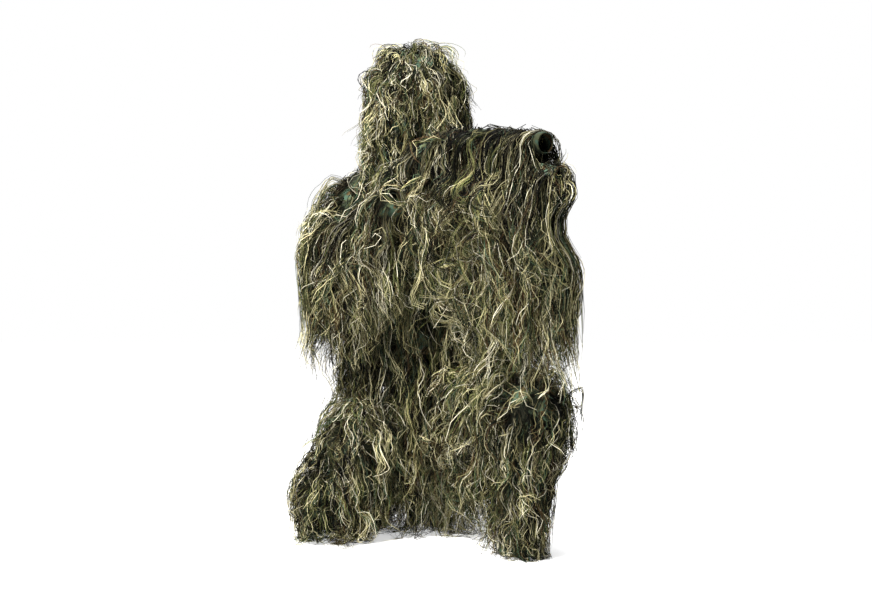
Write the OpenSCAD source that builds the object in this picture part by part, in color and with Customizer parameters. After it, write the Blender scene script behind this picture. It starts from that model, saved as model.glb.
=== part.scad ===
/* [Cloth] */
// Thickness of the camouflage base cloth
lining_t = 2; // [1:0.5:3]
// Thickness of the netting that the fringe is knotted to
net_t = 1.2; // [0.8:0.2:2]
// Air between cloth, netting and fringe
layer_gap = 0.6; // [0.4:0.1:1]
// Depth of the loose fringe, as a share of its usual depth
fringe_depth = 1; // [0.7:0.05:1]
// Flat sides round each tube of cloth
sides = 20; // [16:2:24]

/* [Elastic hems] */
// Thickness of the round elastic in the cuffs and ankles
elastic_d = 5; // [3:0.5:6]
// Width of the flat elastic at the waist and the jacket hem
band_w = 28; // [18:1:34]

/* [Hood] */
// Height of the lower edge of the face opening above the floor
face_low = 1130; // [1120:2:1145]
// Height of the upper edge of the face opening above the floor
face_high = 1222; // [1205:2:1235]
// Share of the way round that the face opening takes, in degrees
face_span = 72; // [54:18:90]

/* [Fastenings] */
// Number of press studs on the jacket front
studs = 5; // [3:1:6]
// Diameter of each press stud
stud_d = 13; // [10:1:16]

/* [Rifle wrap] */
// Outer diameter of the printed cloth cover on the sight tube
cover_d = 50; // [44:1:54]
// Width of each elastic tie round the wrap
tie_w = 14; // [8:1:20]

/* [Hidden] */
$fn = 32;
// Puts the middle of the footprint at the origin
shift = [12.99, 168.85, 0];

// Body points that the cloth hangs from
right_arm = [[-205, 50, 930], [-285, -70, 765], [-92, -222, 922]];
left_arm = [[135, 30, 930], [170, -215, 790], [195, -405, 893]];
right_leg = [[-115, 60, 385], [-285, -100, 105], [-185, 290, 78]];
left_leg = [[62, 40, 385], [245, -330, 355], [212, -335, 40]];
wrap_back = [5, -205, 1012];
wrap_front = [300, -600, 985];
sight_back = [95, -325, 1074];
sight_front = [268, -557, 1058];

function unit(v) = v / norm(v);
function along(a, b, s) = a + unit(b - a) * s;

// One ring: centre, normal, side direction, two radii, stretch of the second, fringe depth
function ring(c, n, s, ra, rb, k, f) = [c, unit(n), unit(s), ra, rb, k, f * fringe_depth];
function flat_ring(c, ra, rb, f) = ring(c, [0, 0, 1], [1, 0, 0], ra, rb, 1, f);

// The ring where two limbs meet, moved by g along the limb
function bend_ring(j, r, f, g) =
    let (d1 = unit(j[1] - j[0]), d2 = unit(j[2] - j[1]), n = unit(d1 + d2))
    ring(j[1] + n * g, n, cross(d1, d2), r, r, 1.22, f);
function limb_side(j) = cross(unit(j[1] - j[0]), unit(j[2] - j[1]));
function bend_in(j) = unit(unit(j[0] - j[1]) + unit(j[2] - j[1]));
function upper_ring(j, s, r, f, out) =
    ring(along(j[1], j[0], s) - bend_in(j) * out, j[1] - j[0], limb_side(j), r, r, 1, f);
function lower_ring(j, s, r, f, out) =
    ring(along(j[1], j[2], s) - bend_in(j) * out, j[2] - j[1], limb_side(j), r, r, 1, f);

// A point on a ring at angle t, with its radius changed by off, and kept above the floor
function ring_point(q, t, off, floor_z) =
    let (y = cross(q[1], unit(q[2] - q[1] * (q[2] * q[1]))), x = cross(y, q[1]),
         p = q[0] + x * (q[3] + off) * cos(t) + y * (q[4] + off) * q[5] * sin(t))
    [p[0], p[1], max(p[2], floor_z)];

// Offset of each surface: 0 is the outer face of the base cloth
dome = 5;
net_in = layer_gap;
net_out = net_in + net_t;
fringe_in = net_out + layer_gap;
function off_of(q, o) = o == "fringe" ? fringe_in + q[6] : o;
function floor_of(q, o) = fringe_in + q[6] - off_of(q, o);

// A closed wall between two offsets of a row of rings, over the angles t0 to t1.
// A window leaves out rings win[0] to win[1] between the sides win[2] and win[3].
module wall(rings, inner, outer, t0 = 0, t1 = 360, capped = false, win = [0, 0, 0, 0]) {
    full = t1 - t0 == 360;
    m = full ? sides : max(2, round(sides * (t1 - t0) / 360));
    w = full ? m : m + 1;
    n = len(rings);
    angle = function (i) t0 + (t1 - t0) * i / m;
    points = concat(
        [for (q = rings) for (i = [0:w - 1]) ring_point(q, angle(i), off_of(q, outer), floor_of(q, outer))],
        [for (q = rings) for (i = [0:w - 1]) ring_point(q, angle(i), off_of(q, inner), floor_of(q, inner))],
        [for (o = capped ? [outer, inner] : []) let (q = rings[n - 1]) q[0] + q[1] * (dome + off_of(q, o))]
    );
    h = n * w;
    last = full ? w - 1 : w - 2;
    in_window = function (r, i) r >= win[0] && r < win[1] && i >= win[2] && i < win[3];
    outside = [for (r = [0:n - 2]) for (i = [0:last]) if (!in_window(r, i)) let (j = (i + 1) % w)
        each [[r * w + i, (r + 1) * w + i, (r + 1) * w + j], [r * w + i, (r + 1) * w + j, r * w + j]]];
    inside = [for (f = outside) [h + f[0], h + f[2], h + f[1]]];
    start = [for (i = [0:last]) let (j = (i + 1) % w)
        each [[i, j, h + j], [i, h + j, h + i]]];
    e = (n - 1) * w;
    end = capped
        ? [for (i = [0:last]) let (j = (i + 1) % w) each [[2 * h, e + j, e + i], [2 * h + 1, h + e + i, h + e + j]]]
        : [for (i = [0:last]) let (j = (i + 1) % w)
            each [[e + i, h + e + j, e + j], [e + i, h + e + i, h + e + j]]];
    edges = full ? [] : [for (r = [0:n - 2])
        each [[r * w, h + r * w, h + (r + 1) * w], [r * w, h + (r + 1) * w, (r + 1) * w],
            [r * w + w - 1, h + (r + 1) * w + w - 1, h + r * w + w - 1],
            [r * w + w - 1, (r + 1) * w + w - 1, h + (r + 1) * w + w - 1]]];
    rim = win[1] == win[0] ? [] : concat(
        [for (i = [win[2]:win[3] - 1]) let (a = win[0] * w + i, b = win[1] * w + i)
            each [[a + 1, a, h + a], [a + 1, h + a, h + a + 1], [b, b + 1, h + b + 1], [b, h + b + 1, h + b]]],
        [for (r = [win[0]:win[1] - 1]) let (a = r * w + win[2], b = r * w + win[3])
            each [[a, a + w, h + a + w], [a, h + a + w, h + a], [b + w, b, h + b], [b + w, h + b, h + b + w]]]
    );
    polyhedron(points, concat(outside, inside, start, end, edges, rim), convexity = 8);
}

module lining_of(rings, capped = false, win = [0, 0, 0, 0]) {
    color("#4b5238") wall(rings, -lining_t, 0, capped = capped, win = win);
}

module net_of(rings, capped = false, win = [0, 0, 0, 0]) {
    color("#2f3324") wall(rings, net_in, net_out, capped = capped, win = win);
}

module fringe_of(rings, capped = false, win = [0, 0, 0, 0]) {
    color("#6c7044") wall(rings, fringe_in, "fringe", capped = capped, win = win);
}

// A round elastic ring at point c, turned to face along n
module elastic_ring(c, n, r) {
    u = unit(n);
    translate(c)
        rotate([0, acos(u[2]), atan2(u[1], u[0])])
            color("#23261c") rotate_extrude($fn = 48) translate([r, 0]) circle(d = elastic_d, $fn = 16);
}

// A hanging curtain of strand bundles along a line in plan, uneven at the bottom
module curtain(a, b, thick, low, high) {
    n = max(2, ceil(norm(b - a) / thick * 1.25));
    for (i = [0:n])
        let (c = a + (b - a) * i / n, drop = (high - low) * (0.12 + 0.12 * sin(137 * i)))
            color("#6c7044") translate([c[0], c[1], low + drop]) rotate(22.5 + 9 * i)
                cylinder(d = thick * (1 - 0.1 * cos(97 * i)), h = high - low - drop - (i % 2) * 4, $fn = 8);
}

torso = [
    flat_ring([-35, 60, 502], 193, 152, 24),
    flat_ring([-35, 60, 560], 186, 140, 24),
    flat_ring([-35, 62, 700], 158, 118, 28),
    flat_ring([-35, 60, 830], 84, 100, 26),
    flat_ring([-37, 55, 920], 68, 88, 18),
    flat_ring([-42, 45, 990], 66, 76, 16)
];
seat = [
    flat_ring([-33, 62, 548], 150, 104, 8),
    flat_ring([-33, 62, 490], 158, 112, 12),
    ring([-30, 78, 432], [0, 0.44, 0.9], [1, 0, 0], 172, 128, 1, 16)
];
hood = [
    flat_ring([-47, 20, 1044], 104, 106, 44),
    flat_ring([-47, 17, face_low], 112, 113, 48),
    flat_ring([-47, 13, face_high], 106, 110, 44),
    flat_ring([-50, 11, 1272], 88, 95, 36),
    flat_ring([-55, 11, 1302], 52, 58, 26)
];
collar = [
    flat_ring([-45, 32, 1000], 70, 76, 8),
    flat_ring([-46, 24, 1045], 78, 82, 10),
    flat_ring([-47, 20, 1085], 80, 82, 8)
];
right_upper = [
    upper_ring(right_arm, 268, 34, 16, 0),
    upper_ring(right_arm, 232, 50, 20, 0),
    upper_ring(right_arm, 135, 50, 26, 14),
    bend_ring(right_arm, 48, 30, -11)
];
right_fore = [
    bend_ring(right_arm, 48, 30, 11),
    lower_ring(right_arm, 135, 44, 28, 14),
    lower_ring(right_arm, 210, 40, 20, 0),
    lower_ring(right_arm, 284, 37, 14, 0)
];
left_upper = [
    upper_ring(left_arm, 322, 34, 16, 0),
    upper_ring(left_arm, 284, 50, 20, 0),
    upper_ring(left_arm, 110, 50, 28, 0),
    bend_ring(left_arm, 48, 30, -11)
];
left_fore = [
    bend_ring(left_arm, 48, 30, 11),
    lower_ring(left_arm, 100, 44, 28, 0),
    lower_ring(left_arm, 160, 40, 20, 0),
    lower_ring(left_arm, 214, 37, 12, 0)
];
right_thigh = [
    upper_ring(right_leg, 330, 52, 10, 0),
    upper_ring(right_leg, 235, 88, 54, 46),
    bend_ring(right_leg, 64, 44, -1.5)
];
right_shin = [
    bend_ring(right_leg, 64, 44, 1.5),
    lower_ring(right_leg, 225, 58, 32, 10),
    lower_ring(right_leg, 400, 46, 26, 0)
];
left_thigh = [
    upper_ring(left_leg, 380, 58, 12, 0),
    upper_ring(left_leg, 250, 68, 40, 0),
    upper_ring(left_leg, 150, 70, 56, 12),
    bend_ring(left_leg, 66, 56, -17)
];
left_shin = [
    bend_ring(left_leg, 66, 56, 17),
    lower_ring(left_leg, 150, 60, 58, 12),
    ring([215, -335, 110], [0, 0, -1], limb_side(left_leg), 54, 54, 1, 38),
    ring([212, -335, 7], [0, 0.075, -1], limb_side(left_leg), 52, 52, 1, 42)
];
wrap_dir = unit(wrap_front - wrap_back);
wrap_side = cross(wrap_dir, [0, 0, 1]);
wrap = [for (s = [[0, 20, 10], [0.2, 26, 9], [0.6, 22, 9], [0.85, 20, 10], [1, 12, 13]])
    ring(wrap_back + (wrap_front - wrap_back) * s[0], wrap_dir, wrap_side, s[1], s[1], 1, s[2])];
sight_len = norm(sight_front - sight_back);

module at_sight(s) {
    d = unit(sight_front - sight_back);
    translate(sight_back + d * s)
        rotate([0, acos(d[2]), atan2(d[1], d[0])])
            children();
}

module tube(od, id, h) {
    difference() {
        cylinder(d = od, h = h);
        translate([0, 0, -1]) cylinder(d = id, h = h + 2);
    }
}

// Sides of the hood that the face opening leaves out
face_sides = round(face_span * sides / 360);
face_first = round(sides * 0.75 - face_sides / 2);
face_window = [1, 2, face_first, face_first + face_sides];

// Rings of the flap that hangs in the face opening, clear of its edges
function flap(low, high) = [
    flat_ring([-47, 17, face_low + low], 112, 113, 0),
    flat_ring([-47, 15, (face_low + face_high) / 2], 109, 111.5, 0),
    flat_ring([-47, 13, face_high - high], 106, 110, 0)
];

module face_veil() {
    color("#3a3f2b") wall(flap(14, 5), 4, 6, t0 = 270 - face_span * 0.44, t1 = 270 + face_span * 0.44);
}

module face_fringe() {
    color("#6c7044") wall(flap(18, 8), 8.5, 24, t0 = 270 - face_span * 0.4, t1 = 270 + face_span * 0.4);
}

module face_elastic() {
    color("#23261c") wall([
        flat_ring([-47, 17.6, face_low - 14], 110, 111.5, 0),
        flat_ring([-47, 17, face_low], 112, 113, 0),
        flat_ring([-47, 13, face_high], 106, 110, 0),
        flat_ring([-47.6, 12.6, face_high + 14], 101, 105.5, 0)
    ], -6, -2.8, t0 = 180, t1 = 360, win = [1, 2, face_first - sides / 2, face_first - sides / 2 + face_sides]);
}

module placket() {
    color("#4b5238") wall([
        flat_ring([-35, 60, 538], 188.6, 144.5, 0),
        flat_ring([-35, 60, 560], 186, 140, 0),
        flat_ring([-35, 62, 700], 158, 118, 0),
        flat_ring([-35, 60, 830], 84, 100, 0),
        flat_ring([-37, 55, 915], 68, 88, 0)
    ], -9.5, -6, t0 = 262, t1 = 280);
}

module press_studs() {
    for (i = [0:studs - 1])
        let (z = 565 + 270 / (studs - 1) * i, y = z < 700 ? 62 - 140 + 22 * (z - 560) / 140 : 62 - 118 + 16 * (z - 700) / 130)
            color("#4a4a44") translate([-33, y + 11, z]) rotate([-90, 0, 0]) cylinder(d = stud_d, h = 5);
}

module hem_elastic() {
    color("#23261c") wall([
        flat_ring([-35, 60, 505], 192.6, 151.4, 0),
        flat_ring([-35, 60, 505 + band_w], 189.2, 145.6, 0)
    ], -6.5, -3.4, t0 = 290, t1 = 610);
}

module waist_elastic() {
    color("#23261c") wall([
        flat_ring([-33, 62, 546], 150, 104, 0),
        flat_ring([-33, 62, 546 - band_w], 154, 108, 0)
    ], -6, -2.8);
}

module foot_strap() {
    translate([212, -335, 0]) rotate([90, 0, 0]) translate([0, 0, -13]) color("#23261c") linear_extrude(26)
        difference() {
            translate([-46, 0]) square([92, 62]);
            translate([-43.5, 2.5]) square([87, 62]);
        }
}

module sight_cover() {
    at_sight(0) color("#4b5238") tube(cover_d, cover_d - 6, sight_len - 22);
}

module sight_end() {
    at_sight(sight_len - 20) color("#5a6145") tube(cover_d + 2, cover_d - 6, 20);
}

module sight_elastic() {
    at_sight(sight_len - 40) color("#23261c") tube(cover_d + 5, cover_d + 1, 8);
}

module sight_fringe() {
    at_sight(6) color("#6c7044") tube(cover_d + 8, cover_d + 2, sight_len * 0.55);
}

module wrap_ties() {
    for (s = [0.28, 0.72])
        let (c = wrap_back + (wrap_front - wrap_back) * s, r = s < 0.5 ? 24.8 : 21)
            color("#23261c") translate(c) rotate([0, acos(wrap_dir[2]), atan2(wrap_dir[1], wrap_dir[0])])
                tube(2 * r - 6, 2 * r - 11, tie_w, $fn = 12);
}

translate(shift) {
    lining_of(seat);  // seat_lining
    net_of(seat);  // seat_net
    fringe_of(seat);  // seat_fringe
    waist_elastic();
    lining_of(right_thigh);  // right_thigh_lining
    net_of(right_thigh);  // right_thigh_net
    fringe_of(right_thigh);  // right_thigh_fringe
    lining_of(right_shin);  // right_shin_lining
    fringe_of(right_shin);  // right_shin_fringe
    elastic_ring(along(right_leg[1], right_leg[2], 396), right_leg[2] - right_leg[1], 40);  // right_ankle_elastic
    lining_of(left_thigh);  // left_thigh_lining
    net_of(left_thigh);  // left_thigh_net
    fringe_of(left_thigh);  // left_thigh_fringe
    lining_of(left_shin);  // left_shin_lining
    fringe_of(left_shin);  // left_shin_fringe
    foot_strap();  // left_foot_strap
    lining_of(torso);  // torso_lining
    net_of(torso);  // torso_net
    fringe_of(torso);  // torso_fringe
    placket();  // jacket_placket
    press_studs();
    hem_elastic();  // jacket_hem_elastic
    color("#4b5238") wall(collar, 0, 6);  // neck_collar
    lining_of(hood, true, face_window);  // hood_lining
    net_of(hood, true, face_window);  // hood_net
    fringe_of(hood, true, face_window);  // hood_fringe
    face_elastic();
    face_veil();
    face_fringe();
    lining_of(right_upper);  // right_upper_sleeve_lining
    net_of(right_upper);  // right_upper_sleeve_net
    fringe_of(right_upper);  // right_upper_sleeve_fringe
    curtain([-330, -80], [-272, -74], 40, 490, 662);  // right_sleeve_curtain
    lining_of(right_fore);  // right_forearm_lining
    fringe_of(right_fore);  // right_forearm_fringe
    elastic_ring(along(right_arm[1], right_arm[2], 280), right_arm[2] - right_arm[1], 31.5);  // right_cuff_elastic
    lining_of(left_upper);  // left_upper_sleeve_lining
    net_of(left_upper);  // left_upper_sleeve_net
    fringe_of(left_upper);  // left_upper_sleeve_fringe
    lining_of(left_fore);  // left_forearm_lining
    fringe_of(left_fore);  // left_forearm_fringe
    curtain([178, -242], [191, -362], 62, 596, 680);  // left_sleeve_curtain
    elastic_ring(along(left_arm[1], left_arm[2], 210), left_arm[2] - left_arm[1], 31.5);  // left_cuff_elastic
    lining_of(wrap);  // wrap_sleeve
    fringe_of(wrap);  // wrap_fringe
    wrap_ties();
    curtain([66, -395], [236, -622], 40, 540, 955);  // wrap_near_curtain
    curtain([305, -425], [352, -488], 34, 550, 950);  // wrap_far_curtain
    sight_cover();
    sight_fringe();
    sight_end();  // sight_end_cuff
    sight_elastic();
}
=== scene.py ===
import math

import bpy
import numpy as np
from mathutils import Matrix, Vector


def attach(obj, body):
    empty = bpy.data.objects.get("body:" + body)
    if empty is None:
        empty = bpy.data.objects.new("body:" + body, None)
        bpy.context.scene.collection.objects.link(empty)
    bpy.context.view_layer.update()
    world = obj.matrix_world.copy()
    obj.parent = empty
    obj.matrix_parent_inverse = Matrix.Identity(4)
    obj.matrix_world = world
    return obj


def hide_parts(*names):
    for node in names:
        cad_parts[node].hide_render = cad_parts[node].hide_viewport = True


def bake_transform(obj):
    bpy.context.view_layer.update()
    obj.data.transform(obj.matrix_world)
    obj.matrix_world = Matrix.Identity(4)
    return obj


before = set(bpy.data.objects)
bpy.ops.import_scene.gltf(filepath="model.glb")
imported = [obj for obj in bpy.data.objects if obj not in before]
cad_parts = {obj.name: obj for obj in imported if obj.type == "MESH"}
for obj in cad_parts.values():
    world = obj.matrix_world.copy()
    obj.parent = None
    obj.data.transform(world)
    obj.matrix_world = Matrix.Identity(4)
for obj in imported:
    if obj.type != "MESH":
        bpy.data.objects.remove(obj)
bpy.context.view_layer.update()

# The suit's own numbers are in millimetres; this moves them to the row frame.
SHIFT = np.array([12.99, 168.85, 0.0])


def vec(x, y, z):
    return (np.array([x, y, z], float) + SHIFT) / 1000


def unit(v):
    return v / np.maximum(np.linalg.norm(v, axis=-1, keepdims=True), 1e-12)


# ---------------------------------------------------------------- camera, light and floor

TARGET = np.array([0.013, 0.0, 0.652])
ELEVATION = math.radians(3.2)
DISTANCE = 5.44

cam_data = bpy.data.cameras.new("camera")
cam_data.lens = 85
cam_data.sensor_width = 36
cam = bpy.data.objects.new("camera", cam_data)
bpy.context.scene.collection.objects.link(cam)
cam.location = TARGET + DISTANCE * np.array([0, -math.cos(ELEVATION), math.sin(ELEVATION)])
cam.rotation_euler = (math.pi / 2 - ELEVATION, 0, 0)
bpy.context.scene.camera = cam


def area_light(name, place, aim, size, power, colour):
    data = bpy.data.lights.new(name, "AREA")
    data.shape = "RECTANGLE"
    data.size, data.size_y = size
    data.energy = power
    data.color = colour
    o = bpy.data.objects.new(name, data)
    bpy.context.scene.collection.objects.link(o)
    o.location = place
    o.rotation_euler = Vector(np.array(aim) - np.array(place)).to_track_quat("-Z", "Y").to_euler()


area_light("key", (-2.0, -2.6, 3.8), (0.0, 0.0, 0.8), (1.1, 1.1), 660, (1.0, 0.985, 0.95))
area_light("fill", (3.2, -2.2, 2.2), (0.0, 0.0, 0.7), (1.8, 1.8), 48, (0.96, 0.98, 1.0))
area_light("top", (0.2, 0.6, 4.0), (0.0, 0.0, 0.6), (2.0, 2.0), 200, (1.0, 1.0, 1.0))

world = bpy.data.worlds.new("studio")
bpy.context.scene.world = world
world.use_nodes = True
sky = world.node_tree
seen = sky.nodes.new("ShaderNodeLightPath")
level = sky.nodes.new("ShaderNodeMapRange")
level.inputs["To Min"].default_value = 0.05
level.inputs["To Max"].default_value = 1.0
sky.links.new(seen.outputs["Is Camera Ray"], level.inputs["Value"])
sky.nodes["Background"].inputs["Color"].default_value = (1, 1, 1, 1)
sky.links.new(level.outputs["Result"], sky.nodes["Background"].inputs["Strength"])
bpy.context.scene.view_settings.view_transform = "Standard"


def new_material(name, roughness, specular=0.25):
    mat = bpy.data.materials.new(name)
    mat.use_nodes = True
    p = mat.node_tree.nodes["Principled BSDF"]
    p.inputs["Roughness"].default_value = roughness
    p.inputs["Specular IOR Level"].default_value = specular
    return mat, mat.node_tree, p


def add_node(nt, kind, **values):
    n = nt.nodes.new(kind)
    for k, v in values.items():
        if k in n.inputs:
            n.inputs[k].default_value = v
        else:
            setattr(n, k, v)
    return n


def ramp(nt, stops, interpolation):
    n = nt.nodes.new("ShaderNodeValToRGB")
    n.color_ramp.interpolation = interpolation
    while len(n.color_ramp.elements) < len(stops):
        n.color_ramp.elements.new(0.5)
    for e, (place, colour) in zip(n.color_ramp.elements, stops):
        e.position = place
        e.color = (*colour, 1)
    return n


def srgb(r, g, b):
    """The linear colour of an sRGB colour given in steps of 0 to 255."""
    shares = (r / 255, g / 255, b / 255)
    return tuple(x / 12.92 if x <= 0.04045 else ((x + 0.055) / 1.055) ** 2.4 for x in shares)


def map_range(nt, source, low, high):
    n = nt.nodes.new("ShaderNodeMapRange")
    n.inputs["To Min"].default_value = low
    n.inputs["To Max"].default_value = high
    nt.links.new(source, n.inputs["Value"])
    return n.outputs["Result"]


def scaled(nt, colour, *factors):
    """The colour times each factor."""
    for f in factors:
        n = nt.nodes.new("ShaderNodeVectorMath")
        n.operation = "SCALE"
        nt.links.new(colour, n.inputs[0])
        nt.links.new(f, n.inputs["Scale"])
        colour = n.outputs["Vector"]
    return colour


def noise(nt, scale, detail=3.0, vector=None):
    n = add_node(nt, "ShaderNodeTexNoise", Scale=scale, Detail=detail)
    if vector is None:
        vector = nt.nodes.new("ShaderNodeTexCoord").outputs["Object"]
    nt.links.new(vector, n.inputs["Vector"])
    return n


def bumped(nt, p, height, strength, distance=0.001):
    n = add_node(nt, "ShaderNodeBump", Strength=strength, Distance=distance)
    nt.links.new(height, n.inputs["Height"])
    nt.links.new(n.outputs["Normal"], p.inputs["Normal"])


def make_floor():
    me = bpy.data.meshes.new("floor")
    me.from_pydata([(-7, -7, 0), (7, -7, 0), (7, 7, 0), (-7, 7, 0)], [], [(0, 1, 2, 3)])
    o = bpy.data.objects.new("floor", me)
    bpy.context.scene.collection.objects.link(o)
    mat, nt, p = new_material("floor", 0.9, 0.0)
    p.inputs["Base Color"].default_value = (0.7, 0.7, 0.7, 1)
    p.inputs["Emission Color"].default_value = (1, 1, 1, 1)
    far = add_node(nt, "ShaderNodeVectorMath", operation="LENGTH")
    nt.links.new(nt.nodes.new("ShaderNodeTexCoord").outputs["Object"], far.inputs[0])
    reach = nt.nodes.new("ShaderNodeMapRange")
    reach.inputs["From Min"].default_value = 1.0
    reach.inputs["From Max"].default_value = 3.2
    reach.inputs["To Min"].default_value = 0.6
    reach.inputs["To Max"].default_value = 1.0
    nt.links.new(far.outputs["Value"], reach.inputs["Value"])
    glow = add_node(nt, "ShaderNodeMath", operation="MULTIPLY")
    nt.links.new(reach.outputs["Result"], glow.inputs[0])
    nt.links.new(nt.nodes.new("ShaderNodeLightPath").outputs["Is Camera Ray"], glow.inputs[1])
    nt.links.new(glow.outputs["Value"], p.inputs["Emission Strength"])
    me.materials.append(mat)


make_floor()

# ---------------------------------------------------------------- the tubes of cloth

RIGHT_ARM = [vec(-205, 50, 930), vec(-285, -70, 765), vec(-92, -222, 922)]
LEFT_ARM = [vec(135, 30, 930), vec(170, -215, 790), vec(195, -405, 893)]
RIGHT_LEG = [vec(-115, 60, 385), vec(-285, -100, 105), vec(-185, 290, 78)]
LEFT_LEG = [vec(62, 40, 385), vec(245, -330, 355), vec(212, -335, 40)]
WRAP = [vec(5, -205, 1012), vec(300, -600, 985)]
SIGHT = [vec(95, -325, 1074), vec(268, -557, 1058)]


def ring(c, n, s, ra, rb):
    """One ring of a tube: its centre and its two half axes."""
    n = unit(np.array(n, float))
    y = unit(np.cross(n, unit(np.array(s, float))))
    x = np.cross(y, n)
    return np.array([c, x * ra / 1000, y * rb / 1000])


def flat(x, y, z, ra, rb):
    return ring(vec(x, y, z), (0, 0, 1), (1, 0, 0), ra, rb)


def side_of(j):
    return np.cross(unit(j[1] - j[0]), unit(j[2] - j[1]))


def inward(j):
    return unit(unit(j[0] - j[1]) + unit(j[2] - j[1]))


def bend(j, r):
    return ring(j[1], unit(j[1] - j[0]) + unit(j[2] - j[1]), side_of(j), r, r * 1.22)


def upper(j, s, r, out=0):
    return ring(j[1] + unit(j[0] - j[1]) * s / 1000 - inward(j) * out / 1000, j[1] - j[0], side_of(j), r, r)


def lower(j, s, r, out=0):
    return ring(j[1] + unit(j[2] - j[1]) * s / 1000 - inward(j) * out / 1000, j[2] - j[1], side_of(j), r, r)


def on_line(line, s, r):
    d = line[1] - line[0]
    return ring(line[0] + d * s, d, np.cross(d, (0, 0, 1)), r, r)


def path_rings(points, radii):
    """Rings along a path of points, each facing along the path."""
    pts = [vec(*p) for p in points]
    ahead = np.gradient(np.array(pts), axis=0)
    return [ring(p, d, np.cross(d, (0, 0, 1)), r, r) for p, d, r in zip(pts, ahead, radii)]


TUBES = {
    "torso": [
        flat(-35, 60, 502, 193, 152),
        flat(-35, 60, 560, 186, 140),
        flat(-35, 62, 700, 158, 118),
        flat(-35, 60, 830, 84, 100),
        flat(-37, 55, 920, 68, 88),
        flat(-42, 45, 990, 66, 76),
    ],
    "seat": [
        flat(-33, 62, 548, 150, 104),
        flat(-33, 62, 490, 158, 112),
        ring(vec(-30, 78, 432), (0, 0.44, 0.9), (1, 0, 0), 172, 128),
    ],
    "collar": [flat(-45, 32, 1000, 73, 79), flat(-46, 24, 1045, 81, 85), flat(-47, 20, 1085, 83, 85)],
    "hood": [
        flat(-47, 20, 1030, 102, 104),
        flat(-47, 20, 1044, 104, 106),
        flat(-47, 17, 1130, 112, 113),
        flat(-47, 13, 1222, 106, 110),
        flat(-50, 11, 1272, 88, 95),
        flat(-54, 11, 1300, 54, 60),
        flat(-56, 11, 1307, 14, 16),
    ],
    "right_sleeve": [
        upper(RIGHT_ARM, 268, 34),
        upper(RIGHT_ARM, 232, 50),
        upper(RIGHT_ARM, 135, 50, 14),
        bend(RIGHT_ARM, 48),
        lower(RIGHT_ARM, 135, 44, 14),
        lower(RIGHT_ARM, 210, 40),
        lower(RIGHT_ARM, 284, 37),
    ],
    "left_sleeve": [
        upper(LEFT_ARM, 322, 34),
        upper(LEFT_ARM, 284, 50),
        upper(LEFT_ARM, 110, 50),
        bend(LEFT_ARM, 48),
        lower(LEFT_ARM, 100, 44),
        lower(LEFT_ARM, 160, 40),
        lower(LEFT_ARM, 214, 37),
    ],
    "right_leg": [
        upper(RIGHT_LEG, 330, 52),
        upper(RIGHT_LEG, 235, 88, 46),
        bend(RIGHT_LEG, 64),
        lower(RIGHT_LEG, 225, 58, 10),
        lower(RIGHT_LEG, 400, 46),
    ],
    "left_leg": [
        upper(LEFT_LEG, 380, 58),
        upper(LEFT_LEG, 250, 68),
        upper(LEFT_LEG, 150, 70, 12),
        bend(LEFT_LEG, 66),
        lower(LEFT_LEG, 150, 60, 12),
        ring(vec(215, -335, 110), (0, 0, -1), side_of(LEFT_LEG), 54, 54),
        ring(vec(212, -335, 9), (0, 0.075, -1), side_of(LEFT_LEG), 52, 52),
    ],
    "yoke": path_rings([(-196, 52, 936), (-130, 50, 962), (-40, 46, 975), (60, 38, 958), (128, 32, 936)],
                       [34, 42, 46, 42, 34]),
    "wrap": [on_line(WRAP, s, r) for s, r in ((0, 20), (0.2, 26), (0.6, 22), (0.85, 20), (1, 12))],
    "sight": [on_line(SIGHT, s, r) for s, r in ((0, 24.5), (0.5, 25), (0.93, 24.5))],
    "sight_cuff": [on_line(SIGHT, s, r) for s, r in ((0.925, 25), (0.965, 26.5), (1.0, 24))],
    "lap": path_rings([(-95, 50, 405), (-20, 30, 408), (62, 10, 400)], [34, 40, 34]),
    "stock": path_rings([(-78, -205, 985), (-28, -215, 1040), (40, -262, 1062), (95, -325, 1070)],
                        [16, 22, 22, 18]),
    "far": path_rings([(235, -450, 935), (278, -450, 885), (300, -446, 825)], [20, 24, 18]),
}


def sample(tube, s, t, off=0.0):
    """Points at s (0 to 1 along a tube) and angle t, off metres outside it, and the outward normals."""
    rings = np.array(TUBES[tube])
    n = len(rings) - 1

    def axes(s):
        x = np.clip(s, 0, 1) * n
        i = np.clip(np.floor(x).astype(int), 0, n - 1)
        f = (x - i)[..., None, None]
        p1, p2 = rings[i], rings[i + 1]
        p0 = np.where((i > 0)[..., None, None], rings[np.maximum(i - 1, 0)], 2 * p1 - p2)
        p3 = np.where((i < n - 1)[..., None, None], rings[np.minimum(i + 2, n)], 2 * p2 - p1)
        m1, m2 = (p2 - p0) * 0.42, (p3 - p1) * 0.42
        return (
            (2 * f**3 - 3 * f**2 + 1) * p1
            + (f**3 - 2 * f**2 + f) * m1
            + (3 * f**2 - 2 * f**3) * p2
            + (f**3 - f**2) * m2
        )

    def point(s, t):
        q = axes(s)
        return q[..., 0, :] + q[..., 1, :] * np.cos(t)[..., None] + q[..., 2, :] * np.sin(t)[..., None]

    s, t = np.broadcast_arrays(np.asarray(s, float), np.asarray(t, float))
    p = point(s, t)
    along = point(np.minimum(s + 0.01, 1), t) - point(np.maximum(s - 0.01, 0), t)
    around = point(s, t + 0.02) - point(s, t - 0.02)
    normal = unit(np.cross(around, along))
    inside = np.sum(normal * (p - axes(s)[..., 0, :]), -1) < 0
    normal = np.where(inside[..., None], -normal, normal)
    return p + normal * np.asarray(off)[..., None], normal


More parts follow.
